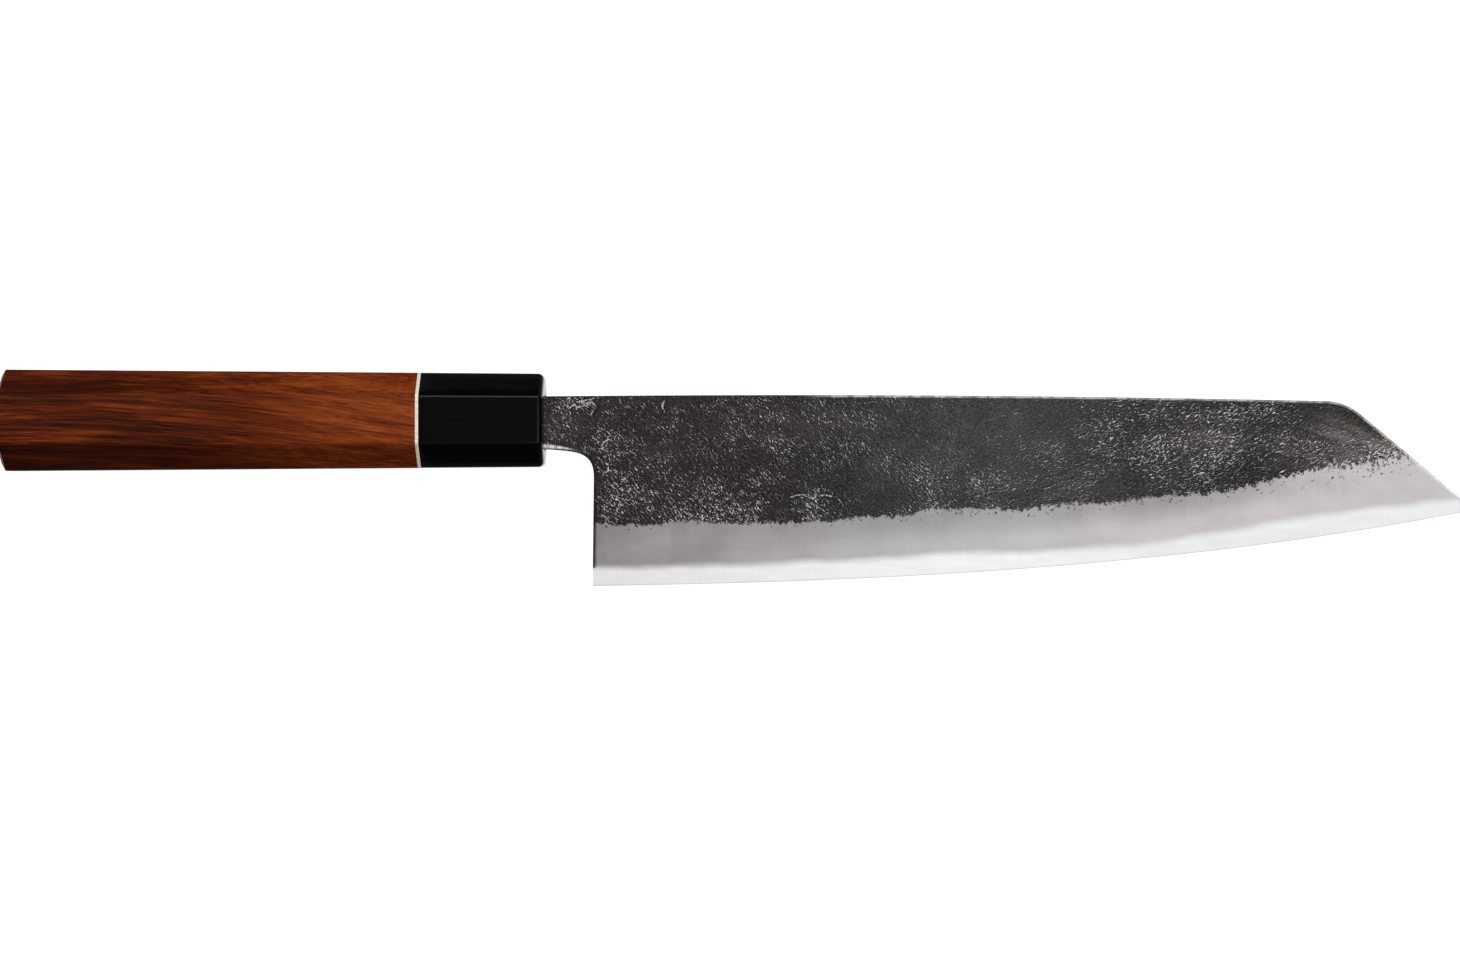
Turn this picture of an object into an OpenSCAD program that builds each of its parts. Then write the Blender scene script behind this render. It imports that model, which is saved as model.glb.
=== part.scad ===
// Kiritsuke kitchen knife with a three-layer blade and an octagonal wooden handle.
// The knife lies on its left side: +X points to the tip, the cutting edge faces -Y and
// the right face of the blade looks up, along +Z. The origin is the middle of the
// bounding box, at its lowest level. All sizes are in millimetres.

/* [Blade outline] */
// Length of the cutting edge, from heel to tip
edge_length = 240; // [210:1:270]
// Height of the blade at the heel
heel_height = 51.7; // [49:0.1:54]
// Height of the tip above the level of the heel's corner
tip_rise = 20.7; // [14:0.1:26]
// Height of the edge curve's first control point, a third of the way along
edge_lift_near = 1.2; // [0.4:0.1:2]
// Height of the edge curve's second control point, two thirds of the way along
edge_lift_far = 5; // [3.5:0.1:6]
// Length of the sloped point, measured along the blade
point_run = 35.3; // [30:0.1:42]
// Radius where the spine turns down into the sloped point
point_radius = 15; // [8:0.5:20]
// Radius of the spine's slight crown
crown_radius = 6500; // [5000:10:9000]
// Distance of the crown's crest in front of the heel
crown_crest = 54; // [40:1:80]

/* [Blade section] */
// Thickness at the top of the neck, in front of the ferrule
spine_thickness = 3.9; // [3.5:0.1:4.3]
// Thickness that the flat faces reach above the tip
tip_thickness = 1.75; // [1.6:0.05:2.2]
// Thickness lost per 10 mm from the spine down towards the edge
face_taper = 0.22; // [0.15:0.01:0.25]
// Height of the ground bevel above the edge
bevel_height = 16.7; // [14:0.1:19]
// Swell of the bevel: 1 is flat, and less is rounder
bevel_power = 0.9; // [0.8:0.01:1]
// Thickness left at the cutting edge
edge_thickness = 0.12; // [0.08:0.01:0.2]
// Thickness of the hard steel core at the ferrule
core_thickness = 1.12; // [1:0.01:1.2]
// Thickness of the hard steel core at the tip
core_tip_thickness = 0.55; // [0.45:0.01:0.65]
// Width of the eased edges of spine, neck and choil
eased_width = 0.45; // [0.2:0.05:0.6]

/* [Neck and tang] */
// Length of the neck between the ferrule and the heel
neck_length = 13; // [11:0.1:15]
// Height of the neck's underside above the level of the heel's corner
neck_base = 37.2; // [36:0.1:38.2]
// How far the top of the heel's back edge leans towards the tip
heel_lean = 0.4; // [0:0.1:1]
// Height at which the heel's back edge turns into the choil
choil_start = 29.5; // [27:0.1:31]
// Fullness of the choil's curve at the heel
choil_fullness = 7; // [5:0.1:7.5]
// How far the full neck reaches into the ferrule
neck_entry = 3; // [2:0.1:4]
// How much lower each face of the neck lies inside the ferrule
neck_step = 0.1; // [0.05:0.05:0.2]
// Length of the shoulder that narrows the neck to the tang
shoulder_length = 4; // [3:0.1:4]
// Length of the neck and tang inside the handle
tang_length = 100; // [90:1:110]
// Height of the tang behind the shoulder
tang_height = 9; // [8:0.1:9.4]
// Height of the tang at its end
tang_end_height = 5; // [4:0.1:6]
// Thickness of the tang behind the shoulder
tang_thickness = 3.4; // [3:0.1:3.4]
// Thickness of the tang at its end
tang_end_thickness = 2.2; // [2:0.1:2.6]

/* [Handle] */
// Length of the whole handle with its ferrule
handle_length = 147; // [140:1:155]
// Height of the handle's middle line above the level of the heel's corner
handle_line = 45; // [44.5:0.1:45.5]
// Height of the handle at its front
front_height = 25.3; // [24:0.1:26]
// Width of the handle at its front
front_width = 21; // [20:0.1:22]
// Leg of each bevelled corner at the front
front_corner = 6.3; // [5.5:0.1:7]
// Height of the handle at its butt
butt_height = 27.5; // [26.5:0.1:28.5]
// Width of the handle at its butt
butt_width = 23; // [22:0.1:24]
// Leg of each bevelled corner at the butt
butt_corner = 6.8; // [6:0.1:7.5]
// Length of the bevel round the butt, along the handle
butt_bevel_length = 1.5; // [0.5:0.1:3]
// How far the bevel round the butt draws each side in
butt_bevel_depth = 2.3; // [0.5:0.1:4]
// Swell of the bevel round the butt: 0 is flat, and more is rounder
butt_bevel_swell = 0.2; // [0:0.05:0.8]

/* [Ferrule, spacer and dowel] */
// Length of the ferrule
ferrule_length = 33.2; // [28:0.1:36]
// Radius of the rounding round the ferrule's face
ferrule_round = 1.5; // [0.8:0.1:2]
// Thickness of the pale spacer
spacer_thickness = 0.9; // [0.6:0.1:2]
// Diameter of the dowel that joins ferrule, spacer and handle
dowel_diameter = 13; // [12:0.1:13.5]
// Length of the dowel
dowel_length = 60; // [50:1:66]
// Thickness of the ferrule's front wall, ahead of the dowel
front_wall = 8; // [7:0.1:10]

/* [Tang slots and bedding] */
// Gap round the neck in the ferrule's mouth
mouth_gap = 0.35; // [0.2:0.05:0.5]
// Height of the slot in the dowel
dowel_slot_height = 10.4; // [10:0.1:10.8]
// Width of the slot in the dowel
dowel_slot_width = 4; // [3.7:0.1:4.4]
// Height of the slot burnt into the wood behind the dowel
wood_slot_height = 8; // [7.6:0.1:8.6]
// Width of the slot burnt into the wood behind the dowel
wood_slot_width = 3.2; // [3:0.1:3.6]
// Room behind the tang's end
tang_room = 4; // [2:0.1:8]
// How far the bedding stops short of the ferrule's face
bedding_recess = 0.2; // [0.1:0.05:0.5]

/* [Hidden] */
steel_colour = "#d8d9dc";
scale_colour = "#3c3936";
edge_steps = 48;
crown_steps = 20;
turn_steps = 8;
choil_steps = 12;
bevel_rows = [-0.1, 0.15, 0.3, 0.6, 1.25];
rounding_angles = [0, 22.5, 45, 67.5];
butt_shares = [0, 0.25, 0.5, 0.75, 1];
bore_sides = 96;
beyond = 1;

// Places along the knife
overall_length = handle_length + neck_length + edge_length;
tip_x = overall_length / 2;
heel_x = tip_x - edge_length;
front_x = heel_x - neck_length;
butt_x = front_x - handle_length;
ferrule_back_x = front_x - ferrule_length;
spacer_back_x = ferrule_back_x - spacer_thickness;
dowel_front_x = front_x - front_wall;
dowel_back_x = dowel_front_x - dowel_length;
entry_x = front_x - neck_entry;
tang_x = entry_x - shoulder_length;
tang_end_x = front_x - tang_length;
slot_end_x = tang_end_x - tang_room;

// Places across the knife, which is widest just ahead of the butt's bevel
function along_handle(butt, front, x) = butt + (front - butt) * (x - butt_x) / handle_length;
widest_x = butt_x + butt_bevel_length;
heel_y = -(handle_line + along_handle(butt_height, front_height, widest_x) / 2) / 2;
spine_y = heel_y + heel_height;
axis_y = heel_y + handle_line;
mid_z = along_handle(butt_width, front_width, widest_x) / 2;

// The cutting edge is a cubic curve, and the spine an arc with its crest near the heel
function bezier(p, t) =
    pow(1 - t, 3) * p[0] + 3 * pow(1 - t, 2) * t * p[1] + 3 * (1 - t) * t * t * p[2] + pow(t, 3) * p[3];
function edge_y(x) = heel_y + bezier([0, edge_lift_near, edge_lift_far, tip_rise], (x - heel_x) / edge_length);
crest_x = heel_x + crown_crest;
crest_y = spine_y + crown_crest * crown_crest / (2 * crown_radius);
function crown_y(x) = crest_y - (x - crest_x) * (x - crest_x) / (2 * crown_radius);

// The spine turns into the sloped point on an arc that is tangent to both
tip = [tip_x, heel_y + tip_rise];
point_start = [tip_x - point_run, crown_y(tip_x - point_run)];
crown_dip = atan((point_start.x - crest_x) / crown_radius);
point_dip = atan((point_start.y - tip.y) / point_run);
turn_run = point_radius * tan((point_dip - crown_dip) / 2);
turn_start = point_start + turn_run * [-cos(crown_dip), sin(crown_dip)];
turn_centre = turn_start - point_radius * [sin(crown_dip), cos(crown_dip)];
turn = [for (i = [turn_steps : -1 : 0])
    let (a = crown_dip + (point_dip - crown_dip) * i / turn_steps)
    turn_centre + point_radius * [sin(a), cos(a)]];

// The choil runs from the heel's back edge to the underside of the neck
choil_curve = [
    [heel_x + heel_lean, heel_y + choil_start],
    [heel_x + heel_lean, heel_y + choil_start + choil_fullness],
    [front_x + 0.7 * neck_length, heel_y + neck_base - 0.6],
    [front_x, heel_y + neck_base]];
choil = [for (i = [choil_steps : -1 : 0]) bezier(choil_curve, i / choil_steps)];

// Outlines run anticlockwise, with the steel on their left
edge = [for (i = [0 : edge_steps]) let (x = heel_x + edge_length * i / edge_steps) [x, edge_y(x)]];
crown = [for (i = [1 : crown_steps])
    let (x = turn_start.x + (entry_x - turn_start.x) * i / crown_steps) [x, crown_y(x)]];
tang_top = [
    [entry_x, crown_y(entry_x)],
    [tang_x, axis_y + tang_height / 2],
    [tang_end_x, axis_y + tang_end_height / 2]];
tang_base = [
    [tang_end_x, axis_y - tang_end_height / 2],
    [tang_x, axis_y - tang_height / 2],
    [entry_x, heel_y + neck_base]];
blade_outline = concat(edge, turn, crown, [tang_top[1], tang_top[2]], tang_base, choil);
tang_outline = concat(tang_top, tang_base, [[front_x, heel_y + neck_base], [front_x, crown_y(front_x)]]);
upper_eased_path = concat([(tip + 2 * turn[0]) / 3], turn, crown);
lower_eased_path = concat([tang_base[2]], choil, [[heel_x, heel_y + bevel_height / 2]]);

// Half thicknesses: the flat faces are planes that thin towards the tip and the edge
face_rise = (tip_thickness - spine_thickness) / 2 / (tip_x - front_x);
face_lean = face_taper / 20;
core_rise = (core_tip_thickness - core_thickness) / 2 / (tip_x - front_x);
function face_z(p) = spine_thickness / 2 + face_rise * (p.x - front_x) + face_lean * (p.y - spine_y);
function bevel_z(x, share) =
    let (
        top = face_z([x, edge_y(x) + bevel_height]),
        sharp = edge_thickness / 2,
        straight = bevel_rows[1])
    sharp + (top - sharp) * (share < straight ? share / straight * pow(straight, bevel_power) : pow(share, bevel_power));

// A closed solid through rings that have equally many points, clockwise as seen from the first ring
module loft(rings) {
    n = len(rings[0]);
    last = n * (len(rings) - 1);
    sides = [for (a = [0 : last - 1])
        let (b = a % n == n - 1 ? a + 1 - n : a + 1)
        each [[b, a, a + n], [b, a + n, b + n]]];
    start_cap = [for (j = [0 : n - 1]) j];
    end_cap = [for (j = [n - 1 : -1 : 0]) last + j];
    polyhedron([for (ring = rings) each ring], concat(sides, [start_cap, end_cap]));
}

// A copy above the blade's middle plane and one mirrored below it
module both_faces() {
    for (side = [0, 1])
        mirror([0, 0, side]) children();
}

// Everything above the plane that passes the given point with the given rise and lean
module above_plane(point, rise, lean) {
    reach = 2 * overall_length;
    ring = [[-1, -1], [-1, 1], [1, 1], [1, -1]];
    loft([for (top = [1, 0]) [for (p = ring)
        point + (top == 1 ? [p.x * reach, p.y * reach, reach]
                          : [p.x * reach, p.y * reach, reach * (rise * p.x + lean * p.y)])]]);
}

// What grinding takes off one face to form the bevel
module bevel_waste() {
    last_row = len(bevel_rows) - 1;
    loft([for (i = [-1 : edge_steps + 1])
        let (x = heel_x + edge_length * i / edge_steps, y = edge_y(x))
        concat(
            [[x, y + bevel_rows[0] * bevel_height, 2 * spine_thickness]],
            [for (share = bevel_rows) [x, y + share * bevel_height, bevel_z(x, share)]],
            [[x, y + bevel_rows[last_row] * bevel_height, 2 * spine_thickness]])]);
}

// What easing takes off one face along a path of the outline
module eased_waste(path) {
    last = len(path) - 1;
    loft([for (i = [0 : last])
        let (
            p = path[i],
            along = path[min(i + 1, last)] - path[max(i - 1, 0)],
            inward = [-along.y, along.x] / norm(along),
            inner = p + inward * (eased_width + beyond),
            outer = p - inward * beyond,
            z = face_z(p))
        [[inner.x, inner.y, z + beyond],
         [outer.x, outer.y, z + beyond],
         [outer.x, outer.y, z - eased_width - beyond]]]);
}

// What lowers one face of the neck inside the ferrule
module entry_waste() {
    intersection() {
        above_plane([front_x, spine_y, spine_thickness / 2 - neck_step], face_rise, face_lean);
        translate([front_x - overall_length, -overall_length, 0])
            cube([overall_length, 2 * overall_length, overall_length]);
    }
}

// What thins the neck to the tang on one face
module tang_waste() {
    translate([0, axis_y + overall_length, 0])
        rotate([90, 0, 0])
            linear_extrude(2 * overall_length)
                polygon([
                    [tang_end_x - beyond, tang_end_thickness / 2],
                    [tang_end_x, tang_end_thickness / 2],
                    [tang_x, tang_thickness / 2],
                    [entry_x, spine_thickness / 2],
                    [entry_x, 2 * spine_thickness],
                    [tang_end_x - beyond, 2 * spine_thickness]]);
}

// A flat blank of the given outline with its faces thinned and its corners eased
module steel_blank(outline) {
    difference() {
        translate([0, 0, -1.5 * spine_thickness])
            linear_extrude(3 * spine_thickness)
                polygon(outline);
        both_faces() {
            above_plane([front_x, spine_y, spine_thickness / 2], face_rise, face_lean);
            entry_waste();
            tang_waste();
            eased_waste(upper_eased_path);
            eased_waste(lower_eased_path);
        }
    }
}

// The whole forged and ground blade, in the middle plane of the knife
module blade_steel() {
    difference() {
        steel_blank(blade_outline);
        both_faces() bevel_waste();
    }
}

// Everything beyond the core on one face
module above_core() {
    above_plane([front_x, axis_y, core_thickness / 2], core_rise, 0);
}

module blade_core() {
    color(steel_colour)
        translate([0, 0, mid_z])
            difference() {
                blade_steel();
                both_faces() above_core();
            }
}

module cladding(side) {
    color(scale_colour)
        translate([0, 0, mid_z])
            intersection() {
                blade_steel();
                mirror([0, 0, side]) above_core();
            }
}

module cladding_right() {
    cladding(0);
}

module cladding_left() {
    cladding(1);
}

// The octagonal section of the handle at x, drawn in by an inset all round
function octagon(x, inset) =
    let (
        h = along_handle(butt_height, front_height, x) / 2 - inset,
        w = along_handle(butt_width, front_width, x) / 2 - inset,
        c = along_handle(butt_corner, front_corner, x) - (2 - sqrt(2)) * inset)
    [for (p = [[h - c, w], [c - h, w], [-h, w - c], [-h, c - w], [c - h, -w], [h - c, -w], [h, c - w], [h, w - c]])
        [x, axis_y + p.x, mid_z + p.y]];

// A block of the given height and width on the handle's middle line, from one x to another
module slot(from_x, to_x, height, width) {
    translate([from_x, axis_y - height / 2, mid_z - width / 2])
        cube([to_x - from_x, height, width]);
}

module dowel_bore(from_x, to_x) {
    translate([from_x, axis_y, mid_z])
        rotate([0, 90, 0])
            cylinder(h = to_x - from_x, d = dowel_diameter, $fn = bore_sides);
}

module mouth(to_x) {
    low = heel_y + neck_base - mouth_gap;
    high = crown_y(front_x) + mouth_gap;
    width = spine_thickness + 2 * mouth_gap;
    translate([dowel_front_x, low, mid_z - width / 2])
        cube([to_x - dowel_front_x, high - low, width]);
}

module handle_body() {
    butt = [for (share = butt_shares)
        octagon(butt_x + butt_bevel_length * share, butt_bevel_depth * (1 - share) * (1 - butt_bevel_swell * share))];
    color("#7a4630")
        difference() {
            loft(concat(butt, [octagon(spacer_back_x, 0)]));
            dowel_bore(dowel_back_x, spacer_back_x + beyond);
            slot(slot_end_x, dowel_back_x + beyond, wood_slot_height, wood_slot_width);
        }
}

module spacer_ring() {
    color("#ece6d6")
        difference() {
            loft([octagon(spacer_back_x, 0), octagon(ferrule_back_x, 0)]);
            dowel_bore(spacer_back_x - beyond, ferrule_back_x + beyond);
        }
}

module ferrule() {
    rounded = [for (a = rounding_angles) octagon(front_x - ferrule_round * (1 - cos(a)), ferrule_round * (1 - sin(a)))];
    face = [for (i = [len(rounded) - 1 : -1 : 0]) rounded[i]];
    color("#1b1a19")
        difference() {
            loft(concat([octagon(ferrule_back_x, 0), octagon(front_x - ferrule_round, 0)], face));
            dowel_bore(ferrule_back_x - beyond, dowel_front_x);
            mouth(front_x + beyond);
        }
}

module ferrule_dowel() {
    color("#c8a77a")
        difference() {
            dowel_bore(dowel_back_x, dowel_front_x);
            slot(dowel_back_x - beyond, dowel_front_x + beyond, dowel_slot_height, dowel_slot_width);
        }
}

module tang_bedding() {
    color("#2f231b")
        difference() {
            union() {
                mouth(front_x - bedding_recess);
                slot(dowel_back_x, dowel_front_x, dowel_slot_height, dowel_slot_width);
                slot(slot_end_x, dowel_back_x, wood_slot_height, wood_slot_width);
            }
            translate([0, 0, mid_z]) steel_blank(tang_outline);
        }
}

blade_core();
cladding_right();
cladding_left();
handle_body();
spacer_ring();
ferrule();
ferrule_dowel();
tang_bedding();
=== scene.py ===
# A kiritsuke knife with forge scale on its blade and an octagonal wooden handle.
# Sizes are in millimetres, and meshes are turned into the frame's metres when they are made.
# u runs from the heel to the tip, and v from the heel's corner up to the spine.
import bmesh
import bpy
import math
import numpy as np
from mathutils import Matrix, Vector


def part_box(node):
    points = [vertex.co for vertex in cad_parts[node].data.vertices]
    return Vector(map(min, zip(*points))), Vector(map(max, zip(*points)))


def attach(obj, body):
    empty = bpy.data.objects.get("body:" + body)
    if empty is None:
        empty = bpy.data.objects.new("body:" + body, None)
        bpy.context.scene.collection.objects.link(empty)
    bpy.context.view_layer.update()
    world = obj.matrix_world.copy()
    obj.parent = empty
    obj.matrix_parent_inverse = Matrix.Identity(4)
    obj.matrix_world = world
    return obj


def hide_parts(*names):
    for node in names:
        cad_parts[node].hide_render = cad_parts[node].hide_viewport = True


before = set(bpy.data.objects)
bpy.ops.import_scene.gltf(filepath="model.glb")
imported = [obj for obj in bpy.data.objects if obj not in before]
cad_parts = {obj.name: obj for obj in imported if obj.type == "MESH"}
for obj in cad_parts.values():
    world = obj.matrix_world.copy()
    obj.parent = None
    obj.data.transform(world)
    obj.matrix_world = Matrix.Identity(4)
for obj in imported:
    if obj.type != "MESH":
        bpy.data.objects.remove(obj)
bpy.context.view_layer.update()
MM = 0.001

# Blade outline
EDGE_LENGTH = 240.0
HEEL_HEIGHT = 51.7
EDGE_HEIGHTS = (0.0, 1.2, 5.0, 20.7)
POINT_RUN = 35.3
POINT_RADIUS = 15.0
CROWN_RADIUS = 6500.0
CROWN_CREST = 54.0
NECK_LENGTH = 13.0
NECK_BASE = 37.2
HEEL_LEAN = 0.4
LEAN_REACH = 10.0
CHOIL_START = 29.5
CHOIL_FULLNESS = 7.0
CHOIL_PULL = 0.3
CHOIL_SAG = 0.6

# Blade section
SPINE_THICKNESS = 3.9
TIP_THICKNESS = 1.75
FACE_TAPER = 0.022
BEVEL_HEIGHT = 16.7
BEVEL_POWER = 0.9
EDGE_THICKNESS = 0.12
CORE_THICKNESS = 1.12
CORE_TIP_THICKNESS = 0.55
CORE_RISE = HEEL_HEIGHT - 10
EASED_WIDTH = 0.45
NECK_EASED_WIDTH = 1.5

# Tang: its ends and shoulder as (u, height, thickness)
AXIS_HEIGHT = 45.0
ENTRY_U = -16.0
TANG = ((-113.0, 5.0, 2.2), (-20.0, 9.0, 3.4))

# Mesh pitch along and across the blade, finer steps beside a rim, the rows below the cladding line
# with its usual height, and counts of points
PITCH = 0.4
RIM_STEPS = (0.0, 0.05, 0.15, 0.3, 0.5, 0.8)
BAND_ROWS = 14
BAND_TOP = 5
CHOIL_RIBS = 46
CHOIL_POINTS = 25
SPINE_POINTS = 200
SPINE_STRIDE = 4
TURN_POINTS = 25

# Handle sections as (height, width, leg of the corner bevels)
BUTT_SECTION = (27.5, 23.0, 6.8)
FRONT_SECTION = (25.3, 21.0, 6.3)
MOUTH_SECTION = (15.08, 4.6, 0.4)
WOOD_SLOT_SECTION = (8.0, 3.2, 0.3)
# The butt's bevel as (length, depth, swell), and its rim as (step, inset, inset of the flat)
BUTT_BEVEL = (1.5, 2.3, 0.2)
BUTT_RIM = (0.06, 0.05, 0.35)
MOUTH_MIDDLE = 44.39
FERRULE_ROUND = 1.5
FACET_ROUND = 0.5
JOINT_ROUND = 0.08
HANDLE_RING_PITCH = 4.0
# Points of a ring as shares along each rounded corner and each flat
CORNER_SHARES = np.linspace(0, 1, 5)
FLAT_SHARES = (0.25, 0.5, 0.75)

# Places on the knife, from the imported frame
blade_low, blade_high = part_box("blade_core")
heel_x = blade_high[0] / MM - EDGE_LENGTH
heel_y = blade_low[1] / MM
middle_z = (blade_low[2] + blade_high[2]) / 2 / MM
axis_y = heel_y + AXIS_HEIGHT
butt_x, spacer_back_x = (c[0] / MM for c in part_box("handle_body"))
ferrule_back_x, front_x = (c[0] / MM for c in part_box("ferrule"))
dowel_back_x, dowel_front_x = (c[0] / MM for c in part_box("ferrule_dowel"))
dowel_radius = (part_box("ferrule_dowel")[1][1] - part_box("ferrule_dowel")[0][1]) / 2 / MM
slot_end_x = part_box("tang_bedding")[0][0] / MM


# Noise and smooth steps

def gradient_noise(x, y, seed):
    """Smooth noise of wavelength 1, from about -0.7 to 0.7."""
    rng = np.random.default_rng(seed)
    order = rng.permutation(256)
    angle = rng.random(256) * 2 * math.pi
    x = np.nan_to_num(x)
    y = np.nan_to_num(y)
    column = np.floor(x).astype(int)
    row = np.floor(y).astype(int)
    fx = x - column
    fy = y - row
    blend_x = fx ** 3 * (fx * (fx * 6 - 15) + 10)
    blend_y = fy ** 3 * (fy * (fy * 6 - 15) + 10)

    def corner(dx, dy):
        a = angle[order[(order[(column + dx) & 255] + row + dy) & 255]]
        return np.cos(a) * (fx - dx) + np.sin(a) * (fy - dy)

    low = corner(0, 0) * (1 - blend_x) + corner(1, 0) * blend_x
    high = corner(0, 1) * (1 - blend_x) + corner(1, 1) * blend_x
    return low * (1 - blend_y) + high * blend_y


def smooth_step(x, low, high):
    t = np.clip((x - low) / (high - low), 0, 1)
    return t * t * (3 - 2 * t)


def smooth_line(x, places):
    """A smooth curve through a few (x, value) places."""
    xs, values = np.array(places).T
    x = np.clip(x, xs[0], xs[-1])
    i = np.clip(np.searchsorted(xs, x) - 1, 0, len(xs) - 2)
    return values[i] + (values[i + 1] - values[i]) * smooth_step(x, xs[i], xs[i + 1])


def patches(u, v, places):
    """A sum of soft patches, each (u, v, width, height, strength)."""
    return sum(s * np.exp(-((u - pu) / w) ** 2 - ((v - pv) / h) ** 2) for pu, pv, w, h, s in places)


# Outline of the blade

def bezier(points, t):
    t = np.asarray(t, float)
    weights = ((1 - t) ** 3, 3 * (1 - t) ** 2 * t, 3 * (1 - t) * t ** 2, t ** 3)
    return sum(np.multiply.outer(w, np.asarray(p, float)) for w, p in zip(weights, points))


def edge_v(u):
    return bezier(EDGE_HEIGHTS, u / EDGE_LENGTH)


def crown_v(u):
    return HEEL_HEIGHT + (CROWN_CREST ** 2 - (u - CROWN_CREST) ** 2) / (2 * CROWN_RADIUS)


def choil_path(t):
    """From the heel's back edge at t 0 to the neck's underside at the ferrule at t 1."""
    return bezier((
        (HEEL_LEAN, CHOIL_START),
        (HEEL_LEAN, CHOIL_START + CHOIL_FULLNESS),
        (-CHOIL_PULL * NECK_LENGTH, NECK_BASE - CHOIL_SAG),
        (-NECK_LENGTH, NECK_BASE)), t)


def spine_path():
    """Close points along the spine, from above the heel to the end of the turn."""
    tip_v = EDGE_HEIGHTS[3]
    point_u = EDGE_LENGTH - POINT_RUN
    point_v = crown_v(point_u)
    crown_dip = math.atan((point_u - CROWN_CREST) / CROWN_RADIUS)
    point_dip = math.atan((point_v - tip_v) / POINT_RUN)
    run = POINT_RADIUS * math.tan((point_dip - crown_dip) / 2)
    start = np.array((point_u - run * math.cos(crown_dip), point_v + run * math.sin(crown_dip)))
    centre = start - POINT_RADIUS * np.array((math.sin(crown_dip), math.cos(crown_dip)))
    us = np.linspace(HEEL_LEAN, start[0], SPINE_POINTS)
    dips = np.linspace(crown_dip, point_dip, TURN_POINTS)[1:]
    turn = centre + POINT_RADIUS * np.stack([np.sin(dips), np.cos(dips)], -1)
    return np.concatenate([np.stack([us, crown_v(us)], -1), turn])


def distance_to(path, u, v):
    """Distance of every point from a path of straight pieces."""
    best = np.full(u.shape, np.inf)
    for a, b in zip(path[:-1], path[1:]):
        d = b - a
        t = np.clip(((u - a[0]) * d[0] + (v - a[1]) * d[1]) / (d @ d), 0, 1)
        best = np.minimum(best, np.hypot(u - a[0] - t * d[0], v - a[1] - t * d[1]))
    return best


# Height of the line above the edge where the cladding ends
CLADDING_LINE = ((0, 4.9), (80, 4.9), (100, 5.5), (120, 4.8), (146, 4.7), (165, 5.3), (176, 5.5),
                 (185, 6.3), (198, 6.8), (211, 6.3), (224, 5.4), (240, 4.4))
# Height of the border of the forge scale above the edge
SCALE_BORDER = ((0, 16.9), (14, 16.4), (26, 17.0), (38, 16.3), (66, 16.3), (74, 16.8), (84, 16.4),
                (92, 17.2), (108, 16.9), (116, 16.5), (131, 16.6), (140, 16.3), (162, 16.2),
                (174, 16.3), (182, 16.8), (190, 17.4), (200, 17.9), (207, 17.7), (213, 17.0),
                (220, 17.4), (240, 16.6))


# Grid of the blade: ribs from the edge to the spine, and rows along the blade

def steps(length, fine_start=False, fine_end=False):
    """Places from 0 to length at about the mesh pitch, finer beside a rim."""
    start = list(RIM_STEPS) if fine_start else [0.0]
    end = [length - s for s in (RIM_STEPS if fine_end else (0.0,))][::-1]
    count = max(round((end[0] - start[-1]) / PITCH), 1)
    middle = np.linspace(start[-1], end[0], count + 1)[1:-1]
    return np.array(start + list(middle) + end)


def blade_grid():
    """The grid's u and v, its first rib ahead of the neck, and the rows of cladding line and choil."""
    spine = spine_path()
    lengths = np.concatenate([[0], np.cumsum(np.hypot(*np.diff(spine, axis=0).T))])
    edge_u = steps(EDGE_LENGTH, True, True)
    along = edge_u - (EDGE_LENGTH - lengths[-1]) * (edge_u / EDGE_LENGTH) ** 3
    foot = np.stack([edge_u, edge_v(edge_u)], -1)
    head = np.stack([np.interp(along, lengths, spine[:, i]) for i in (0, 1)], -1)

    rib = head - foot
    rib_length = np.hypot(*rib.T)
    tilt = np.arctan2(rib[:, 1], rib[:, 0]) - np.arctan(np.gradient(foot[:, 1], edge_u))
    line = smooth_line(edge_u, CLADDING_LINE) / np.sin(tilt) / rib_length
    choil = CHOIL_START / HEEL_HEIGHT
    low = np.linspace(0, 1, BAND_ROWS)
    middle = steps(CHOIL_START - BAND_TOP)[1:] / (CHOIL_START - BAND_TOP)
    high = steps(HEEL_HEIGHT - CHOIL_START, True, True) / (HEEL_HEIGHT - CHOIL_START)
    share = np.concatenate([
        np.outer(line, low),
        line[:, None] + np.outer(choil - line, middle),
        choil + (1 - choil) * np.tile(high[1:], (len(line), 1))], 1)
    points = foot[:, None] + rib[:, None] * share[..., None]
    bend = HEEL_LEAN * (1 - choil) * np.exp(-edge_u / LEAN_REACH)
    points[..., 0] += bend[:, None] * np.where(share < choil, share / choil, (1 - share) / (1 - choil))
    line_row = len(low) - 1
    choil_row = line_row + len(middle)

    feet = [(u, AXIS_HEIGHT - height / 2) for u, height, _ in TANG] + [(ENTRY_U, NECK_BASE)]
    heads = [(u, AXIS_HEIGHT + height / 2) for u, height, _ in TANG] + [(ENTRY_U, crown_v(ENTRY_U))]
    for t in np.linspace(1, 0, CHOIL_RIBS)[:-1]:
        u = HEEL_LEAN - (NECK_LENGTH + HEEL_LEAN) * t
        feet.append(choil_path(t))
        heads.append((u, crown_v(u)))
    feet = np.array(feet)
    heads = np.array(heads)
    neck = np.full((len(feet),) + points.shape[1:], np.nan)
    neck[:, choil_row:] = feet[:, None] + (heads - feet)[:, None] * high[None, :, None]
    grid = np.concatenate([neck, points])
    return grid[..., 0], grid[..., 1], len(feet), line_row, choil_row


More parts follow.
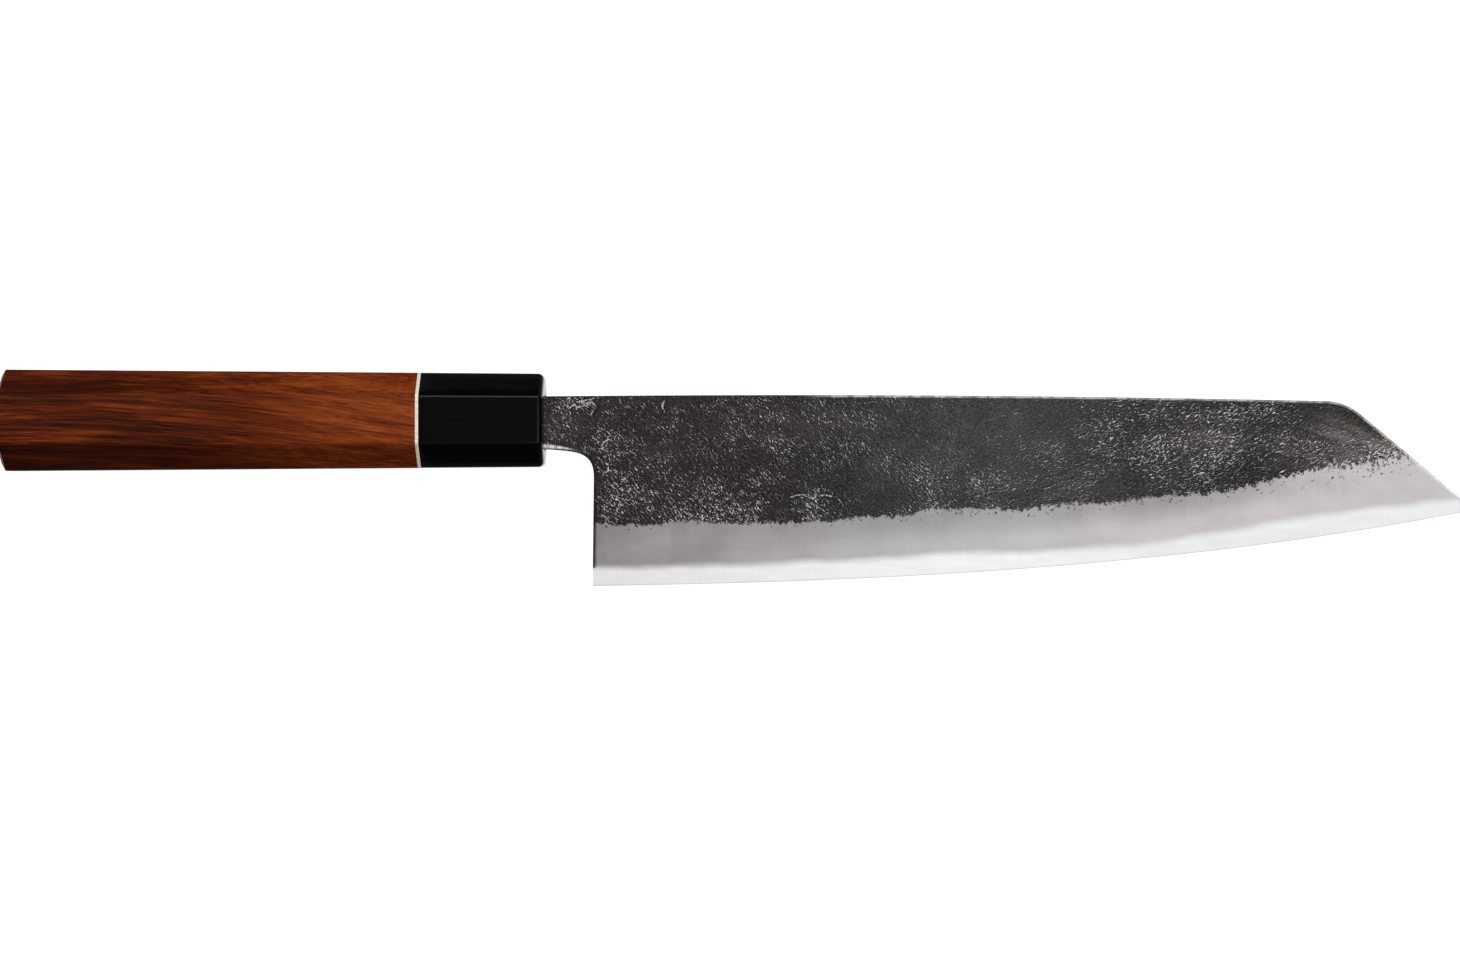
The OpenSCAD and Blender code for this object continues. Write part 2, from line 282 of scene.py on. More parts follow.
grid_u, grid_v, first_rib, line_row, choil_row = blade_grid()
tip_rib = len(grid_u) - 1
spine_row = grid_u.shape[1] - 1
along_blade = np.clip(grid_u, 0, EDGE_LENGTH)
above_edge = grid_v - edge_v(along_blade)
from_spine = distance_to(np.concatenate([
    spine_path()[::SPINE_STRIDE], [(EDGE_LENGTH, EDGE_HEIGHTS[3])]]), grid_u, grid_v)
from_choil = distance_to(np.concatenate([
    [(0.0, 0.0)], choil_path(np.linspace(0, 1, CHOIL_POINTS)), [(ENTRY_U, NECK_BASE)]]), grid_u, grid_v)


# Section of the blade

def along_taper(front, tip, u):
    return front + (tip - front) * (u + NECK_LENGTH) / (EDGE_LENGTH + NECK_LENGTH)


def flat_half(u, v):
    """Half thickness of the forged face before its relief."""
    return (along_taper(SPINE_THICKNESS, TIP_THICKNESS, u) + FACE_TAPER * (v - HEEL_HEIGHT)) / 2


def ground_half(u, v):
    """Half thickness that grinding leaves on the bevel."""
    top = flat_half(u, edge_v(u) + BEVEL_HEIGHT)
    share = np.maximum(v - edge_v(u), 0) / BEVEL_HEIGHT
    return EDGE_THICKNESS / 2 + (top - EDGE_THICKNESS / 2) * share ** BEVEL_POWER


# Patches of the forged face as (u, v, width, height, strength)
ROUGH = ((8, 24, 8, 8, 0.55), (36, 21, 14, 5, 0.7), (4, 37, 4, 7, 0.4), (-3, 50, 5, 3, 0.4),
         (62, 40, 12, 9, 0.3), (142, 44, 4, 6, 0.6), (152, 37, 6, 4, 0.7), (178, 47, 12, 5, 0.4),
         (216, 35.5, 5, 3, 1.0), (165, 36, 25, 8, 0.3), (98, 27, 20, 5, 0.3), (-9, 45, 6, 6, 0.3))
CALM = ((109, 47, 24, 7, 0.9), (77, 27, 6, 6, 0.9), (199, 47, 8, 4, 0.7), (90, 40, 30, 10, 0.3),
        (22, 44, 10, 6, 0.4), (140, 24, 14, 5, 0.5))
HAZE = ((203, 39, 16, 6, 0.9), (168, 41, 10, 5, 0.3), (216, 34.5, 12, 4, 0.9), (60, 44, 20, 5, 0.15))
PALE = ((112, 36, 45, 45, 1.0), (165, 40, 22, 15, 0.15), (-10, 44, 8, 7, 0.7))
ROUGH_BASE = 0.3
ROUGH_SWING = 0.5
CALM_SHARE = 0.6

# Wrinkles in the scale as paths of (u, v), and where the left face has them
WRINKLES = (((5.2, 41.7), (4.1, 40.0), (2.5, 38.3), (3.2, 37.2), (4.6, 36.3)),
            ((1.4, 35.1), (2.5, 33.9), (4.1, 32.7), (4.4, 31.1), (2.6, 30.9), (1.7, 31.1)),
            ((-5.0, 49.0), (-2.8, 48.6), (-1.0, 49.2)),
            ((-3.9, 50.1), (-2.0, 50.3), (0.5, 51.0)),
            ((-6.4, 48.2), (-4.8, 49.5), (-4.4, 48.1)),
            ((-2.8, 49.4), (-0.2, 49.9), (0.9, 49.2)),
            ((-0.6, 46.4), (0.3, 47.7), (0.9, 48.8)),
            ((19.5, 50.4), (18.9, 48.6), (19.7, 47.3)),
            ((211, 34.6), (213, 36.4), (216, 35.2), (219, 36.6)),
            ((53.7, 24.3), (57.0, 24.9), (60.0, 23.8), (63.0, 24.8), (66.5, 24.0), (68.0, 22.3)))
LEFT_WRINKLES_AWAY = (31, -3)

# Relief of the forged face: hammering as (length, height, depth), the warp as (size, reach), and
# ridges and pits as (length, height, depth)
HAMMERING = ((21, 15, 0.028), (8, 6, 0.014))
WARP = (3.1, 1.4)
RIDGES = (2.6, 1.9, 0.03)
PITS = (1.7, 1.5, 0.04)
GRAIN_SIZE = 1.1
GRAIN_DEPTH = 0.004
ROUGH_GRAIN_DEPTH = 0.014


def forged_relief(rough, seed):
    """Relief of the forged face: the border's swell, slow hammering, ridges, pits and grain."""
    u, v = grid_u, grid_v
    border = smooth_line(along_blade, SCALE_BORDER) + 0.5 * gradient_noise(u / 2.3, v / 9, seed)
    slope = SPINE_THICKNESS / 2 / BEVEL_HEIGHT * BEVEL_POWER * (1 - 0.55 * along_blade / EDGE_LENGTH)
    swell = slope * (border - BEVEL_HEIGHT) * np.exp(-((above_edge - BEVEL_HEIGHT) / 6) ** 2)
    hammered = sum(depth * gradient_noise(u / length, v / height, seed + i)
                   for i, (length, height, depth) in enumerate(HAMMERING, 1))
    size, reach = WARP
    warp_u = u + reach * gradient_noise(u / size, v / size, seed + 3)
    warp_v = v + reach * gradient_noise(u / size, v / size, seed + 4)
    folds = gradient_noise(warp_u / RIDGES[0], warp_v / RIDGES[1], seed + 5)
    ridges = np.clip(1 - 5 * np.abs(folds), 0, 1) ** 2
    pits = smooth_step(gradient_noise(warp_u / PITS[0], warp_v / PITS[1], seed + 6), 0.18, 0.5)
    grain = gradient_noise(u / GRAIN_SIZE, v / GRAIN_SIZE, seed + 7)
    return (swell + hammered + rough * (RIDGES[2] * ridges - PITS[2] * pits)
            + (GRAIN_DEPTH + ROUGH_GRAIN_DEPTH * rough) * grain)


def eased(half, core, distance, width):
    """The half thickness with a rounded corner along a rim."""
    width = np.minimum(width, 0.6 * np.maximum(half - core, 0))
    inside = np.clip(width - distance, 0, None)
    return half - width + np.sqrt(width ** 2 - inside ** 2)


def blade_faces(seed, wrinkles_away):
    """Half thicknesses of one finished face and of the core below it, and the values for materials."""
    wobble = 0.25 * gradient_noise(grid_u / 1.3, grid_v / 1.3, seed + 9)
    paths = [np.add(path, wrinkles_away) for path in WRINKLES]
    wrinkle = np.min([distance_to(path, grid_u + wobble, grid_v) for path in paths], axis=0)
    rough = np.clip(ROUGH_BASE + ROUGH_SWING * gradient_noise(grid_u / 11, grid_v / 8, seed + 8)
                    + patches(grid_u, grid_v, ROUGH) - CALM_SHARE * patches(grid_u, grid_v, CALM), 0, 1)
    outside = smooth_step(grid_u, -NECK_LENGTH - 0.5, -NECK_LENGTH)
    forged = flat_half(grid_u, grid_v) + outside * forged_relief(rough, seed)
    on_neck = np.arange(tip_rib + 1)[:, None] < first_rib
    ground = np.where(on_neck, np.inf, ground_half(along_blade, grid_v))
    tang_u = [t[0] for t in TANG] + [ENTRY_U, ENTRY_U + 0.1]
    tang_half = [t[2] / 2 for t in TANG] + [SPINE_THICKNESS / 2, SPINE_THICKNESS]
    half = np.minimum(np.minimum(forged, ground), np.interp(grid_u, tang_u, tang_half))

    straight = along_taper(CORE_THICKNESS, CORE_TIP_THICKNESS, grid_u) / 2
    at_line = np.where(on_neck, straight, ground[:, line_row][:, None])
    core = at_line + (straight - at_line) * np.clip(above_edge / CORE_RISE, 0, 1)
    core[first_rib:, line_row] = half[first_rib:, line_row]

    neck_share = smooth_step(-grid_u, 0, NECK_LENGTH)
    choil_width = EASED_WIDTH + (NECK_EASED_WIDTH - EASED_WIDTH) * neck_share
    half = eased(half, core, from_spine, EASED_WIDTH)
    half = eased(half, core, from_choil, choil_width * smooth_step(grid_v, 6, 10))
    # Painted shade, a dark reflection, along the eased rim of the choil and heel.
    rim_shade_width = 0.9 - 0.55 * neck_share
    on_neck_rim = smooth_step(-from_choil, -choil_width - 0.1, -choil_width + 0.3)
    on_shaded_rim = smooth_step(-from_choil, -rim_shade_width, 0.2 - rim_shade_width)
    values = {
        "gap": np.clip(np.where(np.isfinite(ground), forged - ground, -1), -1, 1),
        "rough": rough,
        "haze": np.clip(patches(grid_u, grid_v, HAZE), 0, 1),
        "calm": np.clip(patches(grid_u, grid_v, CALM), 0, 1),
        "pale": np.clip(patches(grid_u, grid_v, PALE), 0, 1),
        "wrinkle": np.minimum(wrinkle, 1),
        "polish": smooth_step(-from_spine, -0.75, -0.3) * smooth_step(grid_u, 55, 68),
        "neck": on_neck_rim * smooth_step(-grid_u, 0.5, 4),
        "painted_rim_shade": on_shaded_rim * smooth_step(grid_v, 1.5, 6),
        "line": above_edge - smooth_line(along_blade, CLADDING_LINE),
    }
    return half, core, values


# Mesh pieces

def metres(u, v, z):
    """Places on the blade in the frame's metres."""
    return np.stack([(u + heel_x) * MM, (v + heel_y) * MM, (z + middle_z) * MM], -1)


def solid(name, node, material, points, faces, values=None, sharp=40):
    """A closed piece that stands for a node of the frame."""
    mesh = bpy.data.meshes.new(name)
    mesh.from_pydata(points.tolist(), [], faces)
    for key, numbers in (values or {}).items():
        mesh.attributes.new(key, "FLOAT", "POINT").data.foreach_set("value", numbers.astype(np.float32))
    work = bmesh.new()
    work.from_mesh(mesh)
    bmesh.ops.remove_doubles(work, verts=work.verts, dist=1e-6)
    bmesh.ops.recalc_face_normals(work, faces=work.faces)
    work.to_mesh(mesh)
    work.free()
    mesh.shade_smooth()
    mesh.set_sharp_from_angle(angle=math.radians(sharp))
    mesh.materials.append(material)
    piece = bpy.data.objects.new(name, mesh)
    bpy.context.scene.collection.objects.link(piece)
    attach(piece, "root")
    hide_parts(node)


def blade_layer(name, node, material, low_row, sheets, values):
    """A closed layer of the blade between two sheets, each given as heights and the rows it keeps."""
    exists = ~np.isnan(grid_u)
    exists[:, :low_row] = False
    points = []
    faces = []
    kept = []
    numbers = []
    for heights, rows in sheets:
        keep = np.zeros_like(exists)
        keep[:, rows] = True
        keep[[0, first_rib, tip_rib]] = True
        keep &= exists
        number = np.full(exists.shape, -1)
        number[keep] = sum(len(p) for p in points) + np.arange(keep.sum())
        points.append(metres(grid_u[keep], grid_v[keep], heights[keep]))
        kept.append(keep)
        numbers.append(number.tolist())
        for rib, following in zip(numbers[-1], numbers[-1][1:]):
            for low, high in zip(rows, rows[1:]):
                if rib[low] >= 0 and following[low] >= 0:
                    loop = rib[low:high + 1] + following[low:high + 1][::-1]
                    faces.append([n for n in loop if n >= 0])

    heel = [(first_rib, j) for j in range(low_row, choil_row)]
    underside = [(i, choil_row) for i in range(first_rib, 0, -1)]
    tang_end = [(0, j) for j in range(choil_row, spine_row)]
    spine = [(i, spine_row) for i in range(tip_rib)]
    point = [(tip_rib, j) for j in range(spine_row, low_row, -1)]
    edge = [(i, low_row) for i in range(tip_rib, first_rib, -1)]
    loop = heel + underside + tang_end + spine + point + edge
    top, bottom = numbers
    for (i, j), (k, m) in zip(loop, loop[1:] + loop[:1]):
        faces.append([top[i][j], top[k][m], bottom[k][m], bottom[i][j]])
    values = {key: np.concatenate([v[keep] for keep in kept]) for key, v in values.items()}
    solid(name, node, material, np.concatenate(points), faces, values)


# Handle sections

def section_ring(x, section, inset=0.0, middle_y=axis_y):
    """A ring round a bevelled section, with points on its eight rounded corners and its flats."""
    height, width, leg = section
    top = height / 2 - inset
    side = width / 2 - inset
    cut = leg - (2 - math.sqrt(2)) * inset
    corners = np.array([(top - cut, side), (cut - top, side), (-top, side - cut), (-top, cut - side),
                        (cut - top, -side), (top - cut, -side), (top, cut - side), (top, side - cut)])
    back = np.roll(corners, 1, axis=0) - corners
    ahead = np.roll(corners, -1, axis=0) - corners
    shortest = np.minimum(np.hypot(*back.T), np.hypot(*ahead.T))
    reach = np.minimum(FACET_ROUND, 0.3 * shortest)[:, None]
    starts = corners + back / np.hypot(*back.T)[:, None] * reach
    ends = corners + ahead / np.hypot(*ahead.T)[:, None] * reach
    ring = []
    for start, corner, end, following in zip(starts, corners, ends, np.roll(starts, -1, axis=0)):
        ring += [(1 - t) ** 2 * start + 2 * t * (1 - t) * corner + t * t * end for t in CORNER_SHARES]
        ring += [end + (following - end) * t for t in FLAT_SHARES]
    ring = np.array(ring)
    return np.stack([np.full(len(ring), x), ring[:, 0] + middle_y, ring[:, 1] + middle_z], -1)


def handle_ring(x, inset=0.0):
    share = (x - butt_x) / (front_x - butt_x)
    section = [b + (f - b) * share for b, f in zip(BUTT_SECTION, FRONT_SECTION)]
    return section_ring(x, section, inset)


def bore_ring(x):
    """A ring of the dowel's bore, with its points in line with those of a handle ring."""
    ring = handle_ring(x)
    offset = ring[:, 1:] - (axis_y, middle_z)
    ring[:, 1:] = (axis_y, middle_z) + dowel_radius * offset / np.hypot(*offset.T)[:, None]
    return ring


def rounded_end(x, radius, inward, count):
    """Handle rings over a rounded end at x, from its face to full size. inward is 1 or -1 along x."""
    angles = np.linspace(0, math.pi / 2, count)
    return [handle_ring(x + inward * radius * (1 - math.cos(a)), radius * (1 - math.sin(a)))
            for a in angles]


def butt_rings(count=9):
    """Handle rings over the bevel round the butt, with a small rounding at its rim."""
    length, depth, swell = BUTT_BEVEL
    step, rim_inset, flat_inset = BUTT_RIM
    shares = np.linspace(0, 1, count)
    insets = depth * (1 - shares) * (1 - swell * shares)
    rings = [handle_ring(butt_x + length * share, inset) for share, inset in zip(shares, insets)]
    flat = handle_ring(butt_x, depth + flat_inset)
    rim = handle_ring(butt_x + step, insets[0] + rim_inset)
    return [flat, rim] + rings[1:]


def side_rings(start, end):
    count = max(round((end - start) / HANDLE_RING_PITCH), 1)
    return [handle_ring(x) for x in np.linspace(start, end, count + 1)[1:-1]]


def lofted(name, node, material, rings, closed):
    """A piece through rings of equally many points, joined end to end or capped."""
    count = len(rings[0])
    pairs = list(zip(range(len(rings)), range(1, len(rings))))
    if closed:
        pairs.append((len(rings) - 1, 0))
    faces = []
    for a, b in pairs:
        for i in range(count):
            j = (i + 1) % count
            faces.append([a * count + i, a * count + j, b * count + j, b * count + i])
    if not closed:
        faces.append(list(range(count)))
        faces.append([(len(rings) - 1) * count + i for i in range(count)])
    solid(name, node, material, np.concatenate(rings) * MM, faces, sharp=30)


# Shader nodes

def paint(code):
    """An sRGB colour code as linear values."""
    parts = [int(code[i:i + 2], 16) / 255 for i in (1, 3, 5)]
    return [p / 12.92 if p <= 0.04045 else ((p + 0.055) / 1.055) ** 2.4 for p in parts] + [1.0]


class Shader:
    """Builds one material from nodes. Places are in millimetres of the frame."""

    def __init__(self, name):
        self.material = bpy.data.materials.new(name)
        self.material.use_nodes = True
        self.tree = self.material.node_tree
        self.surface = self.tree.nodes["Principled BSDF"]
        coordinates = self.node("ShaderNodeTexCoord").outputs["Object"]
        self.place = self.scaled(coordinates, (1 / MM,) * 3)

    def node(self, kind, settings=None, **sockets):
        """A node. Its input sockets go by name, or by number as _0, _1 and so on."""
        made = self.tree.nodes.new(kind)
        for key, value in (settings or {}).items():
            setattr(made, key, value)
        for key, value in sockets.items():
            self.feed(made.inputs[int(key[1:]) if key[0] == "_" else key.replace("_", " ")], value)
        return made

    def feed(self, socket, value):
        if isinstance(value, bpy.types.NodeSocket):
            self.tree.links.new(value, socket)
        else:
            socket.default_value = value

    def attribute(self, name):
        return self.node("ShaderNodeAttribute", {"attribute_name": name}).outputs["Fac"]

    def coordinate(self, axis):
        """The place along x, y or z, given as 0, 1 or 2."""
        return self.node("ShaderNodeSeparateXYZ", _0=self.place).outputs[axis]

    def scaled(self, vector, scale):
        return self.node("ShaderNodeVectorMath", {"operation": "MULTIPLY"}, _0=vector, _1=scale).outputs[0]

    def added(self, a, b):
        return self.node("ShaderNodeVectorMath", {"operation": "ADD"}, _0=a, _1=b).outputs[0]

    def turned(self, vector, degrees):
        return self.node("ShaderNodeVectorRotate", {"rotation_type": "Z_AXIS"}, _0=vector,
                         Angle=math.radians(degrees)).outputs[0]

    def math(self, operation, a, b=0.0):
        return self.node("ShaderNodeMath", {"operation": operation}, _0=a, _1=b).outputs[0]

    def minus(self, a, b):
        return self.math("SUBTRACT", a, b)

    def times(self, a, b):
        return self.math("MULTIPLY", a, b)

    def larger(self, a, b):
        return self.math("MAXIMUM", a, b)

    def total(self, *terms):
        sum_so_far = terms[0]
        for term in terms[1:]:
            sum_so_far = self.math("ADD", sum_so_far, term)
        return sum_so_far

    def span(self, value, low, high, to_low=0.0, to_high=1.0):
        """Maps low..high smoothly onto to_low..to_high, and clamps."""
        return self.node("ShaderNodeMapRange", {"interpolation_type": "SMOOTHSTEP"}, _0=value, _1=low,
                         _2=high, _3=to_low, _4=to_high).outputs[0]

    def blend(self, share, a, b):
        """A number between a and b."""
        return self.node("ShaderNodeMapRange", _0=share, _1=0.0, _2=1.0, _3=a, _4=b).outputs[0]

    def mix(self, share, a, b):
        """A colour between a and b."""
        made = self.node("ShaderNodeMix", {"data_type": "RGBA"}, _0=share)
        self.feed(made.inputs[6], a)
        self.feed(made.inputs[7], b)
        return made.outputs[2]

    def ramp(self, value, stops):
        """A colour from (position, colour code) stops."""
        made = self.node("ShaderNodeValToRGB", _0=value)
        elements = made.color_ramp.elements
        for element, (position, code) in zip(elements, (stops[0], stops[-1])):
            element.position = position
            element.color = paint(code)
        for position, code in stops[1:-1]:
            elements.new(position).color = paint(code)
        return made.outputs[0]

    def noise(self, scale, detail=2.0, roughness=0.5, distortion=0.0, vector=None):
        """Noise with the given scales along x, y and z, or one for all, in waves per millimetre."""
        scale = scale if isinstance(scale, tuple) else (scale,) * 3
        where = self.scaled(vector or self.place, scale)
        return self.node("ShaderNodeTexNoise", Vector=where, Scale=1.0, Detail=detail,
                         Roughness=roughness, Distortion=distortion).outputs[0]

    def wandering(self, vector, scale, reach):
        """The vector pushed about by noise of its own along each axis."""
        noise = self.node("ShaderNodeTexNoise", Vector=self.scaled(self.place, scale), Scale=1.0)
        return self.added(vector, self.scaled(noise.outputs["Color"], reach))

    def swing(self, noise, strength):
        """Noise round 0 instead of 0.5, times a strength."""
        return self.times(self.minus(noise, 0.5), strength)

    def embossed(self, place, scale, distortion, turn):
        """Noise less the same noise a step across: ridges with a painted highlight on one side and painted
        shade on the other.
        """
        along = self.turned(place, turn)
        across = self.added(along, (0.0, -MARK_SHIFT, 0.0))
        return self.minus(self.noise(scale, 2, 0.5, distortion, along),
                          self.noise(scale, 2, 0.5, distortion, across))

    def x_span(self, start, end):
        """From 0 to 1 between two places along the knife."""
        return self.span(self.coordinate(0), start, end)

    def u_span(self, start, end):
        """From 0 to 1 between two places along the blade, measured from the heel."""
        return self.x_span(heel_x + start, heel_x + end)

    def u_window(self, start, full, fading, end):
        """1 between two places along the blade, fading out before and after them."""
        return self.times(self.u_span(start, full), self.u_span(end, fading))

    def bump(self, height, depth):
        """A normal from a height of 0 to 1 that stands for depth millimetres."""
        return self.node("ShaderNodeBump", Height=height, Distance=depth * MM, Strength=1.0).outputs[0]

    def finish(self, **sockets):
        for key, value in sockets.items():
            self.feed(self.surface.inputs[key.replace("_", " ")], value)
        return self.material


# Blade materials. Colours of the bright band are for heel, middle and tip.
BAND_COLOURS = ("#f1f0ef", "#f6f6f4", "#e7e8e8")
BAND_METALLIC = 0.25
BAND_ROUGHNESS = 0.4
BEVEL_GREYS = ((0.2, "#938d92"), (0.35, "#9f999e"), (0.5, "#a9a4a7"), (0.65, "#aeaaac"))
BEVEL_METALLIC = 0.9
BEVEL_ROUGHNESS = 0.36
NEUTRAL_TINT = "#fafffd"
HATCH_STEEL = "#a9a9ab"
KEEN_STEEL = "#a5a5a8"
SCALE_TONES = ((0.15, "#090708"), (0.5, "#201d1e"), (1.0, "#524f4f"))
HEEL_TINT = "#4a2f38"
HAZE_COLOUR = "#78726e"
# Painted shade on the scale's ridges and grooves, then its bright marks, partly wear and partly painted
# highlight:
PAINTED_SHADE_COLOUR = "#0d0b0c"
WORN_AND_HIGHLIGHT_COLOUR = "#fbf9f6"
# Painted shade along the eased rim of the choil and heel:
PAINTED_RIM_SHADE_COLOUR = "#100e0e"
SCALE_GLOSS = 0.12

# Stretches of the blade as places from the heel: start, full, fading and end. The first two carry painted
# light and shade across the bevel.
BEVEL_PAINTED_SHADE = (20, 60, 184, 196)
DEEP_BEVEL_PAINTED_SHADE = (136, 148, 178, 188)
NEUTRAL_BEVEL = (52, 72, 128, 140)

# Depths of bumps, the step across a mark, and the turns of the marks near the heel and the tip
MARK_DEPTH = 0.08
BEVEL_HATCH_DEPTH = 0.0015
EDGE_HATCH_DEPTH = 0.002
MARK_SHIFT = 0.17
HEEL_MARK_TURN = 48
TIP_MARK_TURN = -24
HAZE_TURN = 22


def bright_band(s):
    """The colour of the bright band along the edge, a little greyer towards heel and tip."""
    at_heel, along_middle, at_tip = (paint(code) for code in BAND_COLOURS)
    return s.mix(s.u_span(100, 175), s.mix(s.u_span(0, 70), at_heel, along_middle), at_tip)


def ground_bevel(s):
    """The colour of the ground metal below the scale, with painted reflection and shade on it, and how far
    it has become the bright band.
    """
    streak = s.noise((0.9, 0.04, 0.04))
    mottle = s.noise((0.06, 0.1, 0.1), 3, 0.55)
    # The bevel is lighter from the heel towards the middle: painted reflection.
    level = s.total(s.times(mottle, 0.8), s.times(streak, 0.12), s.times(s.u_span(-10, 90), 0.3), -0.22)
    line = s.attribute("line")
    # Painted light and shade across the bevel in some stretches: lighter just above the cladding line,
    # darker higher up.
    painted_shade = s.total(1.0, s.times(s.u_window(*BEVEL_PAINTED_SHADE), s.span(line, 2, 10, 0.12, -0.17)),
                    s.times(s.u_window(*DEEP_BEVEL_PAINTED_SHADE), s.span(line, 2, 10, -0.05, -0.13)))
    tint = s.mix(s.u_window(*NEUTRAL_BEVEL), paint("#ffffff"), paint(NEUTRAL_TINT))
    grey = s.scaled(s.scaled(s.ramp(level, BEVEL_GREYS), tint), painted_shade)
    blurred_line = s.total(line, s.span(mottle, 0.3, 0.7, -0.4, 0.4), s.u_span(85, 135))
    return grey, s.span(blurred_line, 1.5, -1.4)


def ground_share(s, haze):
    """1 on ground metal and 0 on scale, with a ragged border and stray specks of scale."""
    tooth = s.noise((1.3, 1.0, 1.0), 4, 0.75)
    gap = s.total(s.attribute("gap"), s.swing(tooth, s.blend(haze, 0.22, 0.6)))
    speck = s.times(s.span(s.noise(1.1, 2, 0.6), 0.63, 0.67), s.span(gap, 0.14, 0.05))
    return s.times(s.span(gap, -0.008, 0.008), s.minus(1.0, speck))


def scale_marks(s, cluster, crowd, grain, calm):
    """Bright marks, partly worn tops and partly painted highlight, from short ridges, worm-like lines and
    wrinkle crests, with painted shade on the ridges' other sides and in the wrinkles' grooves, and their
    height.
    """
    rough = s.attribute("rough")
    bent = s.wandering(s.place, (0.55,) * 3, (1.5,) * 3)
    side = s.total(s.noise((0.3, 0.4, 0.4)), s.u_span(40, 200), -0.5)
    ridges = s.blend(s.span(side, 0.3, 0.4),
                     s.embossed(bent, (1.15, 2.3, 1.7), 0.5, HEEL_MARK_TURN),
                     s.embossed(bent, (1.0, 2.4, 1.7), 0.3, TIP_MARK_TURN))
    # Painted highlight on one side of each ridge, and painted shade on the other.
    painted_light = s.span(ridges, 0.1, 0.18)
    painted_shade = s.span(ridges, 0.0, -0.14)
    strength = s.span(s.total(s.times(rough, 0.3), crowd), 0.5, 0.85, 0.08, 1.0)
    strength = s.times(strength, s.minus(1.0, s.times(calm, 0.5)))

    # Worm-like lines of painted highlight along the rims of tiny pits.
    contour = s.math("ABSOLUTE", s.minus(s.noise((0.6, 0.7, 0.7), 3, 0.6), 0.5))
    worm = s.times(s.span(contour, 0.022, 0.011), s.span(s.noise(1.25), 0.5, 0.55))
    worms = s.times(worm, s.span(s.total(s.times(rough, 0.42), crowd), 0.73, 0.95))
    # Wrinkles: a painted highlight along their crests and painted shade in their grooves.
    wrinkle = s.total(s.attribute("wrinkle"), s.minus(cluster, 0.5))
    crest = s.times(s.span(wrinkle, 0.24, 0.1), s.span(grain, 0.4, 0.54, 0.1, 1.0))
    groove_shade = s.times(s.span(wrinkle, 0.9, 0.5), 0.6)

    # Bright marks, partly burnished wear and partly painted highlight, and the mask of painted shade.
    worn_and_highlit = s.larger(s.times(painted_light, strength), s.larger(worms, s.times(crest, 0.6)))
    painted_shade_mask = s.larger(s.times(painted_shade, s.blend(calm, 0.75, 0.3)), groove_shade)
    emboss = s.times(s.minus(s.times(painted_light, 0.9), s.times(painted_shade, 0.5)), s.blend(strength, 0.3, 1.0))
    height = s.total(s.times(grain, 0.4), emboss, s.times(worms, 0.6), s.times(crest, 0.8))
    return worn_and_highlit, painted_shade_mask, height


def scale_colour(s, cloud, grain, haze, worn_and_highlit, painted_shade_mask):
    """Black scale, redder near the heel, with a lighter streaked grey haze near the tip, painted shade,
    and bright marks that are partly wear and partly painted highlight.
    """
    level = s.total(s.times(cloud, 0.5), s.times(grain, 1.9), s.times(s.attribute("pale"), 0.32), -0.71)
    tone = s.ramp(level, SCALE_TONES)
    tone = s.mix(s.u_span(85, 20), tone, s.mix(0.12, tone, paint(HEEL_TINT)))
    streaks = s.noise((0.05, 0.32, 0.2), 3, 0.6, 0.2, s.turned(s.place, HAZE_TURN))
    veil = s.times(haze, s.span(grain, 0.3, 0.7, 0.35, 0.85))
    tone = s.mix(s.times(veil, s.span(streaks, 0.4, 0.6, 0.4, 1.6)), tone, paint(HAZE_COLOUR))
    # Painted shade on the ridges' dark sides and in the wrinkles' grooves.
    tone = s.mix(painted_shade_mask, tone, paint(PAINTED_SHADE_COLOUR))
    # Bright marks: partly worn tops, partly painted highlight.
    return s.mix(worn_and_highlit, tone, paint(WORN_AND_HIGHLIGHT_COLOUR))


